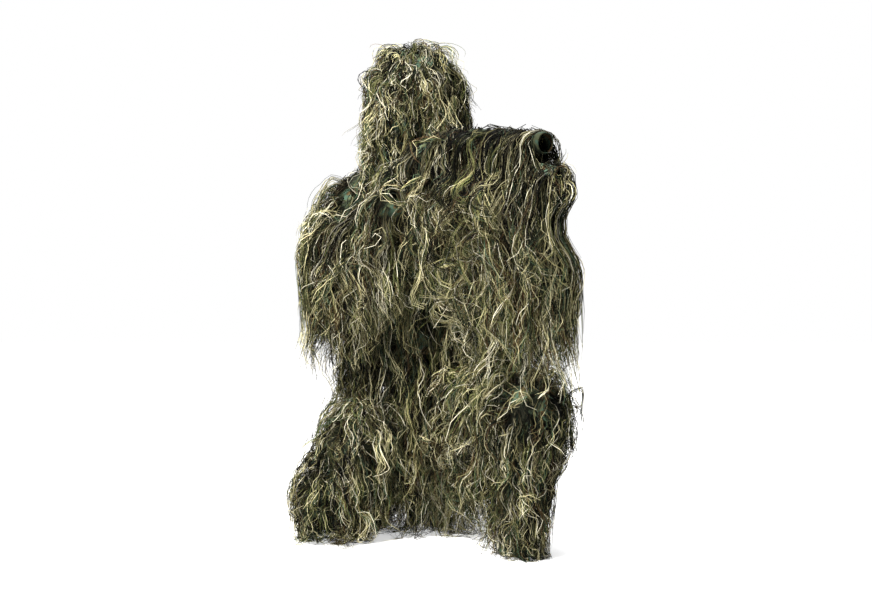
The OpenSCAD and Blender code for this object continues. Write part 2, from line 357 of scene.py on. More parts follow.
def share_at(tube, z):
    """The share along an upright tube at which its middle is z mm high."""
    s = np.linspace(0, 1, 200)
    mid = sample(tube, s, 0.0)[0][:, 2] / 2 + sample(tube, s, math.pi)[0][:, 2] / 2
    order = np.argsort(mid)
    return float(np.interp(z / 1000, mid[order], s[order]))


def waves(p, seed, scale):
    """Smooth noise from crossed sine waves, about -1 to 1."""
    r = np.random.default_rng(seed)
    out = np.zeros(p.shape[:-1])
    for k in range(3):
        for _ in range(4):
            d = unit(r.normal(size=3)) * (2 * math.pi / scale) * 1.9**k
            out += np.sin(p @ d + r.uniform(0, 6.28)) * 0.5**k / 4
    return out


# ---------------------------------------------------------------- guide threads

CLOSED = ("hood", "right_sleeve", "left_sleeve", "yoke", "wrap", "sight", "stock", "far")
WALLS = []
for tube, rings in TUBES.items():
    if tube not in ("collar", "sight_cuff", "lap"):
        for i in range(len(rings) - 1):
            WALLS.append((rings[i], rings[i + 1], tube in CLOSED or 0 < i < len(rings) - 2, None))
# the crown of the hood is one low dome
WALLS = [w for w in WALLS if w[1][0][2] < 1.28]
WALLS.append((TUBES["hood"][3], TUBES["hood"][4], True, 0.040))


def push_out(x, clear):
    """Moves the points of each thread out of every tube until they are clear of its cloth."""
    low, high = x.min(1), x.max(1)
    for a, b, ends, dome in WALLS:
        reach = max(np.linalg.norm(q[k]) for q in (a, b) for k in (1, 2)) + 0.07
        near = (low < np.maximum(a[0], b[0]) + reach) & (high > np.minimum(a[0], b[0]) - reach)
        near = np.flatnonzero(near.all(1))
        if not len(near):
            continue
        p = x[near]
        axis = b[0] - a[0]
        t = np.clip(((p - a[0]) @ axis) / (axis @ axis), 0, 1)[..., None]
        across, up = a[1] + (b[1] - a[1]) * t, a[2] + (b[2] - a[2]) * t
        rx, ry = np.linalg.norm(across, axis=-1), np.linalg.norm(up, axis=-1)
        ux, uy = across / rx[..., None], up / ry[..., None]
        un = unit(np.cross(ux, uy))
        d = p - (a[0] + axis * t)
        dx, dy, dn = (d * ux).sum(-1), (d * uy).sum(-1), (d * un).sum(-1)
        rn = dome or (rx + ry) / 2
        rho = np.sqrt((dx / rx) ** 2 + (dy / ry) ** 2 + (dn / rn) ** 2)
        g = ux * (dx / rx**2)[..., None] + uy * (dy / ry**2)[..., None] + un * (dn / rn**2)[..., None]
        need = clear[near][:, None] - rho * (rho - 1) / np.maximum(np.linalg.norm(g, axis=-1), 1e-6)
        hit = need > 0
        if not ends:
            hit &= np.abs(dn) < 0.02
        x[near] = p + unit(g) * np.where(hit, np.minimum(need, 0.03), 0)[..., None]
    return x


GUIDE_POINTS = 14
# Each step of the fall keeps this share of the last one's movement, and is at most this many metres.
KEPT_SPEED = 0.82
LONGEST_STEP = 0.02


def hang(root, away, length, clear, stiff, seed, steps):
    """Lets threads fall: each leaves its root along away and comes to rest on the cloth under it."""
    r = np.random.default_rng(seed)
    g, n = len(root), GUIDE_POINTS
    seg = (length / (n - 1))[:, None]
    x = root[:, None] + away[:, None] * seg[..., None] * np.arange(n)[None, :, None]
    v = np.zeros_like(x)
    drift = r.normal(scale=0.0005, size=(g, 1, 3)) * np.linspace(0, 1, n)[None, :, None]
    for step in range(steps):
        fall = 0.0034 if step < steps * 0.7 else 0.002
        new = x + v * KEPT_SPEED + drift
        new[..., 2] -= fall * (1 - 0.5 * stiff[:, None])
        new[:, 0] = root
        for k in range(1, n):
            want = root + away * seg if k == 1 else 2 * new[:, k - 1] - new[:, k - 2]
            stay = np.clip(stiff * (1.6 if k < 3 else 0.5), 0, 0.9)[:, None]
            p = new[:, k] + (want - new[:, k]) * stay
            new[:, k] = new[:, k - 1] + unit(p - new[:, k - 1]) * seg
        new[:, 2:] = push_out(new[:, 2:].copy(), clear)
        new[..., 2] = np.maximum(new[..., 2], 0.004 + 0.4 * clear[:, None])
        v = np.clip(new - x, -LONGEST_STEP, LONGEST_STEP)
        x = new
    for k in range(1, n):
        x[:, k] = x[:, k - 1] + unit(x[:, k] - x[:, k - 1]) * seg
    x[..., 2] = np.maximum(x[..., 2], 0.003)
    return x


def roots(tube, count, seed, s0, s1, keep):
    """Seeded random places on a tube, even by area, as points and normals."""
    r = np.random.default_rng(seed)
    ss, tt = np.meshgrid(np.linspace(s0, s1, 40), np.linspace(0, 2 * math.pi, 40), indexing="ij")
    p, _ = sample(tube, ss, tt)
    area = np.linalg.norm(np.cross(np.diff(p, axis=0)[:, :-1], np.diff(p, axis=1)[:-1]), axis=-1)
    points, normals = np.zeros((0, 3)), np.zeros((0, 3))
    for _ in range(60):
        s, t, a = r.uniform(s0, s1, 4000), r.uniform(0, 2 * math.pi, 4000), r.uniform(0, 1, 4000)
        i = np.clip(((s - s0) / (s1 - s0) * 39).astype(int), 0, 38)
        j = np.clip((t / (2 * math.pi) * 39).astype(int), 0, 38)
        ok = a * area.max() < area[i, j]
        s, t = s[ok], t[ok]
        p, n = sample(tube, s, t, 0.003)
        ok = keep(p, n, np.abs(np.degrees(t) - 270), r.uniform(size=len(p)))
        points, normals = np.concatenate([points, p[ok]]), np.concatenate([normals, n[ok]])
        if len(points) >= count:
            break
    return points[:count], normals[:count]


# Each rule takes the points, the normals, the degrees from the front and a random share.
def anywhere(p, n, front, share):
    return np.ones(len(p), bool)


def round_the_face(p, n, front, share):
    opening = (front < 38) & (p[:, 2] > 1.128) & (p[:, 2] < 1.218)
    over_it = (front < 34) & (p[:, 2] > 1.21) & (p[:, 2] < 1.262)
    return ~opening & ~(over_it & (share < 0.60))


def at_the_front(p, n, front, share):
    return front < 34


def on_the_crown(p, n, front, share):
    return (n[:, 0] < -0.15) & (n[:, 1] < 0.3)


def inner_side(p, n, front, share):
    return n[:, 0] < 0.25


def towards_the_toe(p, n, front, share):
    return (n[:, 0] > 0.5) & (n[:, 1] < 0.5)


def group(tube, body, locks, threads, along, length, lift, stiffness, rule=anywhere, lean=None):
    """Locks of the fringe that grow on one tube and ride on one body.

    along is the part of the tube they grow on, and length and lift are in metres. lean is the way that
    the locks leave the cloth, where they don't just fall from it.
    """
    return tube, body, locks, threads, along, length, lift, stiffness, rule, lean


GROUPS = {
    "hood": group("hood", "hood", 400, 11, along=(0.02, 1.0), length=(0.09, 0.20),
                  lift=(0.004, 0.036), stiffness=(0.02, 0.14), rule=round_the_face),
    "crown": group("hood", "hood", 16, 7, along=(0.74, 0.86), length=(0.04, 0.07),
                   lift=(0.004, 0.020), stiffness=(0.2, 0.4), rule=on_the_crown, lean=(-0.5, -0.2, 0.6)),
    "brow": group("hood", "hood", 46, 8, along=(0.50, 0.62), length=(0.11, 0.20),
                  lift=(0.008, 0.030), stiffness=(0.03, 0.16), rule=at_the_front),
    "torso": group("torso", "torso", 420, 8, along=(0.02, 0.98), length=(0.18, 0.32),
                   lift=(0.004, 0.026), stiffness=(0.02, 0.10)),
    "yoke": group("yoke", "torso", 260, 10, along=(0.02, 0.98), length=(0.20, 0.36),
                  lift=(0.006, 0.050), stiffness=(0.02, 0.10)),
    "seat": group("seat", "base", 190, 8, along=(0.05, 0.98), length=(0.32, 0.48),
                  lift=(0.004, 0.022), stiffness=(0.02, 0.10)),
    "lap": group("lap", "base", 340, 9, along=(0.0, 1.0), length=(0.42, 0.50),
                 lift=(0.003, 0.020), stiffness=(0.02, 0.12)),
    "right_upper": group("right_sleeve", "right_upper", 230, 10, along=(0.0, 0.5), length=(0.20, 0.34),
                         lift=(0.004, 0.056), stiffness=(0.02, 0.12)),
    "right_fore": group("right_sleeve", "right_fore", 230, 10, along=(0.5, 1.0), length=(0.20, 0.36),
                        lift=(0.004, 0.024), stiffness=(0.02, 0.12)),
    "left_upper": group("left_sleeve", "left_upper", 250, 8, along=(0.0, 0.5), length=(0.24, 0.42),
                        lift=(0.004, 0.034), stiffness=(0.02, 0.12)),
    "left_fore": group("left_sleeve", "left_fore", 210, 9, along=(0.5, 1.0), length=(0.26, 0.44),
                       lift=(0.004, 0.028), stiffness=(0.02, 0.12)),
    "wrap": group("wrap", "wrap", 270, 10, along=(0.0, 0.93), length=(0.24, 0.46),
                  lift=(0.004, 0.026), stiffness=(0.02, 0.12)),
    "stock": group("stock", "wrap", 170, 10, along=(0.0, 1.0), length=(0.18, 0.38),
                   lift=(0.004, 0.024), stiffness=(0.02, 0.14)),
    "far": group("far", "wrap", 140, 9, along=(0.0, 1.0), length=(0.34, 0.52),
                 lift=(0.003, 0.018), stiffness=(0.02, 0.08)),
    "sight": group("sight", "wrap", 220, 10, along=(0.0, 0.97), length=(0.18, 0.42),
                   lift=(0.003, 0.014), stiffness=(0.03, 0.14)),
    "wisps": group("wrap", "wrap", 30, 5, along=(0.86, 1.0), length=(0.05, 0.11),
                   lift=(0.004, 0.016), stiffness=(0.10, 0.30), lean=(0.7, -0.3, 0.0)),
    "right_thigh": group("right_leg", "base", 420, 9, along=(0.0, 0.5), length=(0.09, 0.22),
                         lift=(0.004, 0.050), stiffness=(0.04, 0.26)),
    "right_shin": group("right_leg", "base", 230, 8, along=(0.5, 1.0), length=(0.08, 0.17),
                        lift=(0.004, 0.040), stiffness=(0.04, 0.24)),
    "left_thigh": group("left_leg", "left_thigh", 420, 9, along=(0.0, 0.5), length=(0.10, 0.26),
                        lift=(0.004, 0.085), stiffness=(0.04, 0.24)),
    "drape": group("left_leg", "left_thigh", 190, 9, along=(0.0, 0.42), length=(0.24, 0.36),
                   lift=(0.004, 0.040), stiffness=(0.03, 0.14), rule=inner_side),
    "left_shin": group("left_leg", "left_shin", 260, 9, along=(0.5, 0.90), length=(0.08, 0.19),
                       lift=(0.003, 0.024), stiffness=(0.03, 0.16)),
    "toe": group("left_leg", "left_shin", 20, 7, along=(0.93, 0.97), length=(0.05, 0.09),
                 lift=(0.003, 0.010), stiffness=(0.3, 0.5), rule=towards_the_toe, lean=(1.0, -0.2, 0.0)),
    "face": group("hood", "veil", 36, 8, along=(0.46, 0.49), length=(0.06, 0.11),
                  lift=(0.004, 0.014), stiffness=(0.02, 0.10), rule=at_the_front),
}

# Places where the printed cloth shows between the threads.
BARE = [(vec(-240, -62, 845), 0.026), (vec(205, -345, 442), 0.030)]


def build_guides():
    out = {}
    steps = 90
    for k, (name, facts) in enumerate(GROUPS.items()):
        tube, body, count, per, (s0, s1), (l0, l1), (c0, c1), (k0, k1), keep, lean = facts
        r = np.random.default_rng(100 + k)
        p, n = roots(tube, count, 200 + k, s0, s1, keep)
        m = len(p)
        # layer is how deep in the fringe each lock lies; it sets the lock's lift here and the painted shade
        # of its threads in the thread material
        layer = r.uniform(0, 1, m) ** 1.3
        clear = c0 + (c1 - c0) * layer
        if name == "hood":
            clear = np.maximum(clear - 0.010 * n[:, 0], 0.003) * np.where(n[:, 2] > 0.55, 0.3, 1.0)
        length = l0 + (l1 - l0) * r.uniform(0, 1, m) ** 0.8
        stiff = k0 + (k1 - k0) * r.uniform(0, 1, m)
        away = n * 0.9 + np.array([0, 0, -0.35]) + r.normal(scale=0.34, size=(m, 3))
        if lean is None:
            away[:, 2] = np.minimum(away[:, 2], 0.05 if name == "sight" else 0.12)
            over = (n[:, 2] > 0.85) & (r.uniform(size=m) < 0.5)
            away[over, :2] *= -1
        else:
            away = away * 0.4 + np.array(lean)
        x = hang(p, unit(away), length, clear, stiff, 300 + k, steps)
        covered = np.ones(m, bool)
        for centre, radius in BARE:
            covered &= np.linalg.norm(x - centre, axis=-1).min(1) > radius
        out[name] = dict(body=body, per=per, x=x[covered], layer=layer[covered],
                         length=length[covered], tone=r.uniform(size=m)[covered])
    return out


# ---------------------------------------------------------------- threads as mesh

THREAD_POINTS = 14


def resample(x, count):
    """Smooth curves through the guide points, at count points each."""
    n = x.shape[1] - 1
    u = np.linspace(0, n, count)
    i = np.clip(u.astype(int), 0, n - 1)
    f = (u - i)[None, :, None]
    p1, p2 = x[:, i], x[:, i + 1]
    p0, p3 = x[:, np.maximum(i - 1, 0)], x[:, np.minimum(i + 2, n)]
    square = (2 * p0 - 5 * p1 + 4 * p2 - p3) * f**2
    cube = (3 * p1 - p0 - 3 * p2 + p3) * f**3
    return 0.5 * (2 * p1 + (p2 - p0) * f + square + cube)


def curl(r, share, length, ripples):
    """Sideways wandering of each line: sine waves of the given lengths and sizes."""
    out = np.zeros((len(length), share.shape[1], 2))
    for wave, size in ripples:
        for axis in (0, 1):
            turns = share * length * 2 * math.pi / (wave * r.uniform(0.7, 1.4, (len(length), 1)))
            out[..., axis] += np.sin(turns + r.uniform(0, 6.28, (len(length), 1))) * size
    return out * np.minimum(share * 3, 1)[..., None]


# The worn suit's edges as seen from the front, as heights and the x there, and its other limits, in metres.
LEFT_EDGE = ((0.42, 0.56, 0.68, 0.80), (-0.400, -0.352, -0.362, -0.378))
RIGHT_EDGE = ((0.07, 0.2, 0.27, 0.44, 0.52, 0.76, 0.83, 0.88, 0.93),
              (0.320, 0.335, 0.404, 0.404, 0.382, 0.382, 0.336, 0.336, 0.372))
FRONT_EDGE, REAR_EDGE, TOP_EDGE = -0.502, 0.502, 1.352
EASE = 0.02
LOWEST = 0.0015


def kept_in(x, r):
    """The fringe eased back inside the room the worn suit takes up, each thread by its own amount."""
    m = (len(x), 1)
    z = x[..., 2]
    left = np.interp(z, *LEFT_EDGE) + r.uniform(0, 0.035, m)
    right = np.interp(z, *RIGHT_EDGE) - r.uniform(0, 0.055, m)
    front = FRONT_EDGE + r.uniform(0, 0.03, m)
    rear = REAR_EDGE - r.uniform(0, 0.03, m)
    top = TOP_EDGE - r.uniform(0, 0.016, m)
    for axis, side, limit in ((0, -1, left), (0, 1, right), (1, -1, front), (1, 1, rear), (2, 1, top)):
        past = (x[..., axis] - limit) * side + EASE
        eased = EASE * (1 - np.exp(-np.maximum(past, 0) / EASE))
        x[..., axis] -= side * np.where(past > 0, past - eased, 0)
    x[..., 2] = np.maximum(x[..., 2], LOWEST)
    return x


def spread(guide, seed):
    """Threads from each guide, bundled, frayed and curled, as lines, radii, tones and layers."""
    r = np.random.default_rng(seed)
    per = guide["per"]
    g = len(guide["x"])
    x = np.repeat(resample(guide["x"], THREAD_POINTS), per, axis=0)
    m, n = x.shape[:2]
    u = np.linspace(0, 1, n)[None, :]
    tangent = unit(np.gradient(x, axis=1))
    a = unit(np.cross(tangent, np.array([0.31, 0.9, 0.27])))
    b = np.cross(tangent, a)
    wide = np.repeat(r.uniform(0.5, 1.5, g), per)[:, None, None]
    knot = r.normal(scale=0.0050, size=(m, 1, 2)) * wide
    tip = knot * r.uniform(0.2, 1.3, (m, 1, 1)) + r.normal(scale=0.0085, size=(m, 1, 2)) * wide
    w = knot * (1 - u[..., None]) + tip * u[..., None]
    w += np.repeat(curl(r, u, guide["length"][:, None], ((0.21, 0.009), (0.09, 0.005))), per, axis=0)
    stray = r.uniform(size=m) < 0.15
    loose = np.where(stray, 2.4, 1.0) * r.uniform(0.4, 1.0, m)
    fine = ((0.15, 0.0054), (0.068, 0.0046), (0.034, 0.0022))
    w += curl(r, u, np.repeat(guide["length"], per)[:, None], fine) * loose[:, None, None]
    x = x + a * w[..., :1] + b * w[..., 1:]
    # each thread is cut to its own length
    place = u * r.uniform(0.66, 1.0, (m, 1)) * (n - 1)
    i = np.clip(place.astype(int), 0, n - 2)
    f = (place - i)[..., None]
    rows = np.arange(m)[:, None]
    x = kept_in(x[rows, i] * (1 - f) + x[rows, i + 1] * f, r)
    radius = r.uniform(0.00055, 0.0011, m) * np.where(stray, 0.8, 1.0)
    own = r.uniform(size=m)
    tone = np.where(r.uniform(size=m) < 0.40, (np.repeat(guide["tone"], per) + 0.08 * own) % 1, own)
    tone = np.where(stray, 0.62 + 0.38 * own, tone)
    layer = np.repeat(guide["layer"], per)
    # stray threads are kept at layer 0.75 or more, so they get little of the painted shade of the under
    # layers
    return x, radius, tone, np.where(stray, np.maximum(layer, 0.75), layer)


def thread_mesh(name, x, radius, tone, layer, mat):
    """Three-sided tapering tubes along the lines, in one mesh."""
    m, n = x.shape[:2]
    tangent = unit(np.gradient(x, axis=1))
    a = unit(np.cross(tangent, np.array([0.2, 0.35, 0.93])))
    b = np.cross(tangent, a)
    taper = np.clip(1.15 - 0.75 * np.linspace(0, 1, n) ** 3, 0.3, 1)[None, :, None, None]
    turn = (np.arange(3) * 2 * math.pi / 3)[None, None, :, None]
    v = a[:, :, None] * np.cos(turn) + b[:, :, None] * np.sin(turn)
    v = x[:, :, None] + v * radius[:, None, None, None] * taper
    base = (np.arange(m) * n * 3)[:, None, None] + (np.arange(n - 1) * 3)[None, :, None]
    k = np.arange(3)
    j = (k + 1) % 3
    quads = np.stack([base + k, base + j, base + 3 + j, base + 3 + k], -1).reshape(-1, 4)
    me = bpy.data.meshes.new(name)
    me.vertices.add(m * n * 3)
    me.vertices.foreach_set("co", v.astype(np.float32).ravel())
    me.loops.add(quads.size)
    me.loops.foreach_set("vertex_index", quads.astype(np.int32).ravel())
    me.polygons.add(len(quads))
    me.polygons.foreach_set("loop_start", np.arange(0, quads.size, 4, dtype=np.int32))
    me.update(calc_edges=True)
    me.shade_smooth()
    # the thread material turns along and layer into painted shade
    for key, values in (
        ("tone", np.repeat(tone, n * 3)),
        ("along", np.tile(np.repeat(np.linspace(0, 1, n), 3), m)),
        ("layer", np.repeat(layer, n * 3)),
    ):
        me.attributes.new(key, "FLOAT", "POINT").data.foreach_set("value", values.astype(np.float32))
    me.materials.append(mat)
    o = bpy.data.objects.new(name, me)
    bpy.context.scene.collection.objects.link(o)
    return o


def thread_material():
    mat, nt, p = new_material("fringe_thread", 0.75, 0.08)
    tone = add_node(nt, "ShaderNodeAttribute", attribute_name="tone").outputs["Fac"]
    along = add_node(nt, "ShaderNodeAttribute", attribute_name="along").outputs["Fac"]
    layer = add_node(nt, "ShaderNodeAttribute", attribute_name="layer").outputs["Fac"]
    palette = ramp(nt, [
        (0.00, srgb(10, 9, 6)),
        (0.19, srgb(34, 42, 30)),
        (0.34, srgb(74, 80, 48)),
        (0.46, srgb(112, 115, 70)),
        (0.56, srgb(78, 98, 76)),
        (0.63, srgb(84, 66, 44)),
        (0.70, srgb(146, 140, 98)),
        (0.81, srgb(196, 188, 146)),
        (0.93, srgb(238, 232, 206)),
    ], "CONSTANT")
    nt.links.new(tone, palette.inputs["Fac"])
    patch = map_range(nt, noise(nt, 14.0, 2.0).outputs["Fac"], 0.35, 1.65)
    fibre = map_range(nt, noise(nt, 160.0, 3.0).outputs["Fac"], 0.7, 1.3)
    # painted shade: each thread is darkened towards its root (along) and in the under layers (layer), down
    # to black, and lightened at its tip and in the outer layers. This stands in for the shade the fringe
    # casts into itself
    colour = scaled(nt, palette.outputs["Color"], patch, fibre, map_range(nt, along, 0.04, 1.25),
                    map_range(nt, layer, 0.0, 1.35))
    nt.links.new(colour, p.inputs["Base Color"])
    nt.links.new(map_range(nt, noise(nt, 90.0).outputs["Fac"], 0.6, 0.95), p.inputs["Roughness"])
    bumped(nt, p, noise(nt, 900.0).outputs["Fac"], 0.3, 0.0004)
    return mat


def camo_material(name, darken):
    mat, nt, p = new_material(name, 0.85, 0.1)
    co = nt.nodes.new("ShaderNodeTexCoord").outputs["Object"]
    move = nt.nodes.new("ShaderNodeVectorMath")
    move.operation = "MULTIPLY_ADD"
    move.inputs[1].default_value = (0.1, 0.1, 0.1)
    nt.links.new(noise(nt, 9.0, 2.0, co).outputs["Color"], move.inputs[0])
    nt.links.new(co, move.inputs[2])
    blobs = noise(nt, 17.0, 3.0, move.outputs["Vector"])
    inks = ramp(nt, [
        (0.00, srgb(26, 28, 20)),
        (0.42, srgb(48, 56, 42)),
        (0.49, srgb(78, 84, 60)),
        (0.54, srgb(72, 94, 78)),
        (0.61, srgb(84, 70, 46)),
        (0.66, srgb(38, 42, 28)),
    ], "CONSTANT")
    nt.links.new(blobs.outputs["Fac"], inks.inputs["Fac"])
    weave = noise(nt, 520.0, 2.0, co).outputs["Fac"]
    nt.links.new(scaled(nt, inks.outputs["Color"], map_range(nt, weave, darken * 0.7, darken * 1.3)),
                 p.inputs["Base Color"])
    nt.links.new(map_range(nt, weave, 0.75, 0.95), p.inputs["Roughness"])
    bumped(nt, p, weave, 0.4)
    return mat


def woven_material(name, dark, light, scale):
    """Webbing or elastic: fine ribs one way, crossed by noise."""
    mat, nt, p = new_material(name, 0.8, 0.3)
    co = nt.nodes.new("ShaderNodeTexCoord").outputs["Object"]
    ribs = add_node(nt, "ShaderNodeTexWave", Scale=scale, Distortion=2.0, Detail=1.0)
    nt.links.new(co, ribs.inputs["Vector"])
    tint = ramp(nt, [(0.0, dark), (1.0, light)], "LINEAR")
    nt.links.new(ribs.outputs["Fac"], tint.inputs["Fac"])
    wear = map_range(nt, noise(nt, 60.0, 3.0, co).outputs["Fac"], 0.6, 1.4)
    nt.links.new(scaled(nt, tint.outputs["Color"], wear), p.inputs["Base Color"])
    nt.links.new(map_range(nt, ribs.outputs["Fac"], 0.7, 0.9), p.inputs["Roughness"])
    bumped(nt, p, ribs.outputs["Fac"], 0.5)
    return mat


def stud_material():
    mat, nt, p = new_material("stud_paint", 0.45, 0.5)
    wear = noise(nt, 220.0, 4.0)
    tint = ramp(nt, [
        (0.30, srgb(44, 46, 38)),
        (0.62, srgb(62, 62, 52)),
        (0.72, srgb(112, 106, 88)),
    ], "LINEAR")
    nt.links.new(wear.outputs["Fac"], tint.inputs["Fac"])
    nt.links.new(tint.outputs["Color"], p.inputs["Base Color"])
    nt.links.new(map_range(nt, wear.outputs["Fac"], 0.3, 0.65), p.inputs["Roughness"])
    bumped(nt, p, wear.outputs["Fac"], 0.15)
    return mat


THREAD = thread_material()
CAMO = camo_material("camo_cloth", 1.0)
# the veil sheet's print is darkened to a quarter: painted shade of the hollow hood behind the face opening
VEIL_SHADE = camo_material("veil_gauze", 0.25)
SIGHT_CLOTH = camo_material("sight_cloth", 0.30)
NET = woven_material("net_cord", srgb(30, 34, 22), srgb(64, 68, 44), 90.0)
ELASTIC = woven_material("elastic_webbing", srgb(26, 28, 20), srgb(66, 66, 48), 160.0)

guides = build_guides()
MAX_THREADS = 2400
threads = {}
for k, (name, g) in enumerate(guides.items()):
    x, radius, tone, layer = spread(g, 700 + k)
    threads[name] = []
    for part, start in enumerate(range(0, len(x), MAX_THREADS)):
        cut = slice(start, start + MAX_THREADS)
        o = thread_mesh(f"{name}_threads_{part + 1}", x[cut], radius[cut], tone[cut], layer[cut], THREAD)
        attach(o, g["body"])
        threads[name].append(o)

# ---------------------------------------------------------------- cloth, netting and elastic


def grid_piece(name, pts, closed, mat, thick, drop=None):
    """A sheet from a grid of points, rows along and columns round, without the faces that drop picks."""
    rows, cols = pts.shape[:2]
    faces = []
    for i in range(rows - 1):
        for j in range(cols if closed else cols - 1):
            if drop is None or not drop(i, j):
                k = (j + 1) % cols
                faces.append((i * cols + j, i * cols + k, (i + 1) * cols + k, (i + 1) * cols + j))
    me = bpy.data.meshes.new(name)
    me.from_pydata([tuple(v) for v in pts.reshape(-1, 3)], [], faces)
    me.shade_smooth()
    me.materials.append(mat)
    o = bpy.data.objects.new(name, me)
    bpy.context.scene.collection.objects.link(o)
    s = o.modifiers.new("thickness", "SOLIDIFY")
    s.thickness = thick / 1000
    s.offset = 0
    return o


def net_lines(tube, s0, s1, off, pitch, t0=0.0, t1=2 * math.pi):
    """Diagonal cords both ways over part of a tube, as lines of points."""
    full = t1 - t0 > 6.28
    u = np.linspace(0, 1, 22)
    mid, _ = sample(tube, (s0 + s1) / 2, np.linspace(t0, t1, 40))
    girth = np.linalg.norm(np.diff(mid, axis=0), axis=-1).sum()
    rail, _ = sample(tube, np.linspace(s0, s1, 40), (t0 + t1) / 2)
    twist = np.linalg.norm(np.diff(rail, axis=0), axis=-1).sum() / girth * (t1 - t0)
    count = max(4, round(girth / (pitch * 1.414)))
    lines = []
    for k in range(count if full else 2 * count):
        start = t0 + (t1 - t0) * k / count - (0 if full else twist)
        for way in (1, -1):
            begin = start if way > 0 else t0 + t1 - start
            t = begin + way * twist * u
            s = s0 + (s1 - s0) * u
            if not full:
                inside = (t >= t0) & (t <= t1)
                if inside.sum() < 3:
                    continue
                a, b = u[inside][0], u[inside][-1]
                t = begin + way * twist * (a + (b - a) * u)
                s = s0 + (s1 - s0) * (a + (b - a) * u)
            lines.append(sample(tube, s, t, off)[0])
    return np.array(lines)


def cord_piece(name, lines, radius, mat):
    m = len(lines)
    flat_values = np.full(m, 0.5)
    return thread_mesh(name, lines, np.full(m, radius), flat_values, flat_values, mat)


def netting(name, tube, body, nodes, s0, s1, off=0.0022, pitch=0.024, **span):
    o = cord_piece(name, net_lines(tube, s0, s1, off, pitch, **span), 0.0008, NET)
    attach(o, body)
    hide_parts(*nodes)
    return o


def cloth(name, tube, body, nodes, rows, cols, span=(0.0, 1.0), angles=None, off=0.0,
          wrinkle=0.003, drop=None, blend=None, mat=None, thick=1.2,
          seed=5):
    """A sheet on a tube, all the way round or between two angles in degrees.

    It rides on one body, or, where blend is given, is left unattached with its place baked in.
    """
    s = np.linspace(*span, rows)
    closed = angles is None
    if closed:
        t = np.linspace(0, 2 * math.pi, cols, endpoint=False)
    else:
        t = np.radians(np.linspace(*angles, cols))
    p, n = sample(tube, *np.meshgrid(s, t, indexing="ij"))
    p = p + n * (waves(p * np.array([1, 1, 2.2]), seed, 0.14) * wrinkle + off)[..., None]
    p[..., 2] = np.maximum(p[..., 2], 0.002)
    o = grid_piece(name, p, closed, mat or CAMO, thick, drop)
    if blend:
        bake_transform(o)
    else:
        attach(o, body)
    if nodes:
        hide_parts(*nodes)
    return o


def band(name, tube, body, nodes, span, off, angles=None, mat=None, cols=64):
    return cloth(name, tube, body, nodes, 6, cols, span=span, angles=angles, off=off, wrinkle=0.0006,
                 mat=mat or ELASTIC, thick=2.4)


def round_the_bend(joint, bodies, reach):
    """The blend of a sleeve or leg: from reach mm above the bend to reach mm below it."""
    a = joint[1] + unit(joint[0] - joint[1]) * reach / 1000
    b = joint[1] + unit(joint[2] - joint[1]) * reach / 1000
    return bodies[0], bodies[1], a, b


def face_gap(i, j):
    """Leaves the face opening out of the hood's 44 by 64 grid."""
    return 0.345 < (i + 0.5) / 43 < 0.49 and abs((j + 0.5) / 64 * 360 - 270) < 36


FACE = (math.radians(239), math.radians(301))
low_face, high_face = share_at("hood", 1144), share_at("hood", 1217)

seat_net = netting("seat_netting", "seat", "base", ["seat_net"], 0.02, 0.98)
torso_net = netting("torso_netting", "torso", "torso", ["torso_net"], 0.01, 0.99)
hood_net = netting("hood_netting", "hood", "hood", ["hood_net"], 0.50, 0.93)
right_leg_net = netting("right_thigh_netting", "right_leg", "base", ["right_thigh_net"], 0.01, 0.49)
left_leg_net = netting("left_thigh_netting", "left_leg", "left_thigh", ["left_thigh_net"], 0.01, 0.45)
right_arm_net = netting("right_sleeve_netting", "right_sleeve", "right_upper", ["right_upper_sleeve_net"],
                        0.01, 0.47)
left_arm_net = netting("left_sleeve_netting", "left_sleeve", "left_upper", ["left_upper_sleeve_net"],
                       0.01, 0.47)
veil_net = netting("face_veil_netting", "hood", "veil", [], low_face, high_face, 0.006, 0.012,
                   t0=FACE[0], t1=FACE[1])

cloth("torso_cloth", "torso", "torso", ["torso_lining"], 40, 72)
cloth("yoke_cloth", "yoke", "torso", [], 24, 40, wrinkle=0.002)
cloth("seat_cloth", "seat", "base", ["seat_lining"], 16, 64)
cloth("neck_collar_cloth", "collar", "neck", ["neck_collar"], 12, 48, wrinkle=0.002)
cloth("hood_cloth", "hood", "hood", ["hood_lining"], 44, 64,
      drop=face_gap)
# the dark sheet fills the face opening behind the veil's net: painted shade of the hollow hood
cloth("face_veil_gauze", "hood", "veil", ["face_veil"], 12, 24,
      span=(low_face, high_face), angles=(238.5, 301.5), off=0.004, wrinkle=0.0008, mat=VEIL_SHADE,
      thick=0.6)
cloth("right_sleeve_cloth", "right_sleeve", None, ["right_upper_sleeve_lining", "right_forearm_lining"],
      44, 32,
      blend=round_the_bend(RIGHT_ARM, ("right_upper", "right_fore"), 70))
cloth("left_sleeve_cloth", "left_sleeve", None, ["left_upper_sleeve_lining", "left_forearm_lining"],
      44, 32,
      blend=round_the_bend(LEFT_ARM, ("left_upper", "left_fore"), 70))
cloth("right_leg_cloth", "right_leg", "base", ["right_thigh_lining", "right_shin_lining"], 48, 40)
cloth("left_leg_cloth", "left_leg", None, ["left_thigh_lining", "left_shin_lining"], 48, 40,
      blend=round_the_bend(LEFT_LEG, ("left_thigh", "left_shin"), 90))
cloth("wrap_cloth", "wrap", "wrap", ["wrap_sleeve"], 40, 28,
      wrinkle=0.0012)
cloth("wrap_stock_flap", "stock", "wrap", [], 20, 24, wrinkle=0.001)
cloth("wrap_far_flap", "far", "wrap", [], 16, 24, wrinkle=0.001)
cloth("sight_cover_cloth", "sight", "wrap", ["sight_cover"], 30, 32, wrinkle=0.0008,
      mat=SIGHT_CLOTH)
cloth("sight_end_cloth", "sight_cuff", "wrap", ["sight_end_cuff"], 8, 40, wrinkle=0.0012, seed=9,
      thick=2.0, mat=SIGHT_CLOTH)

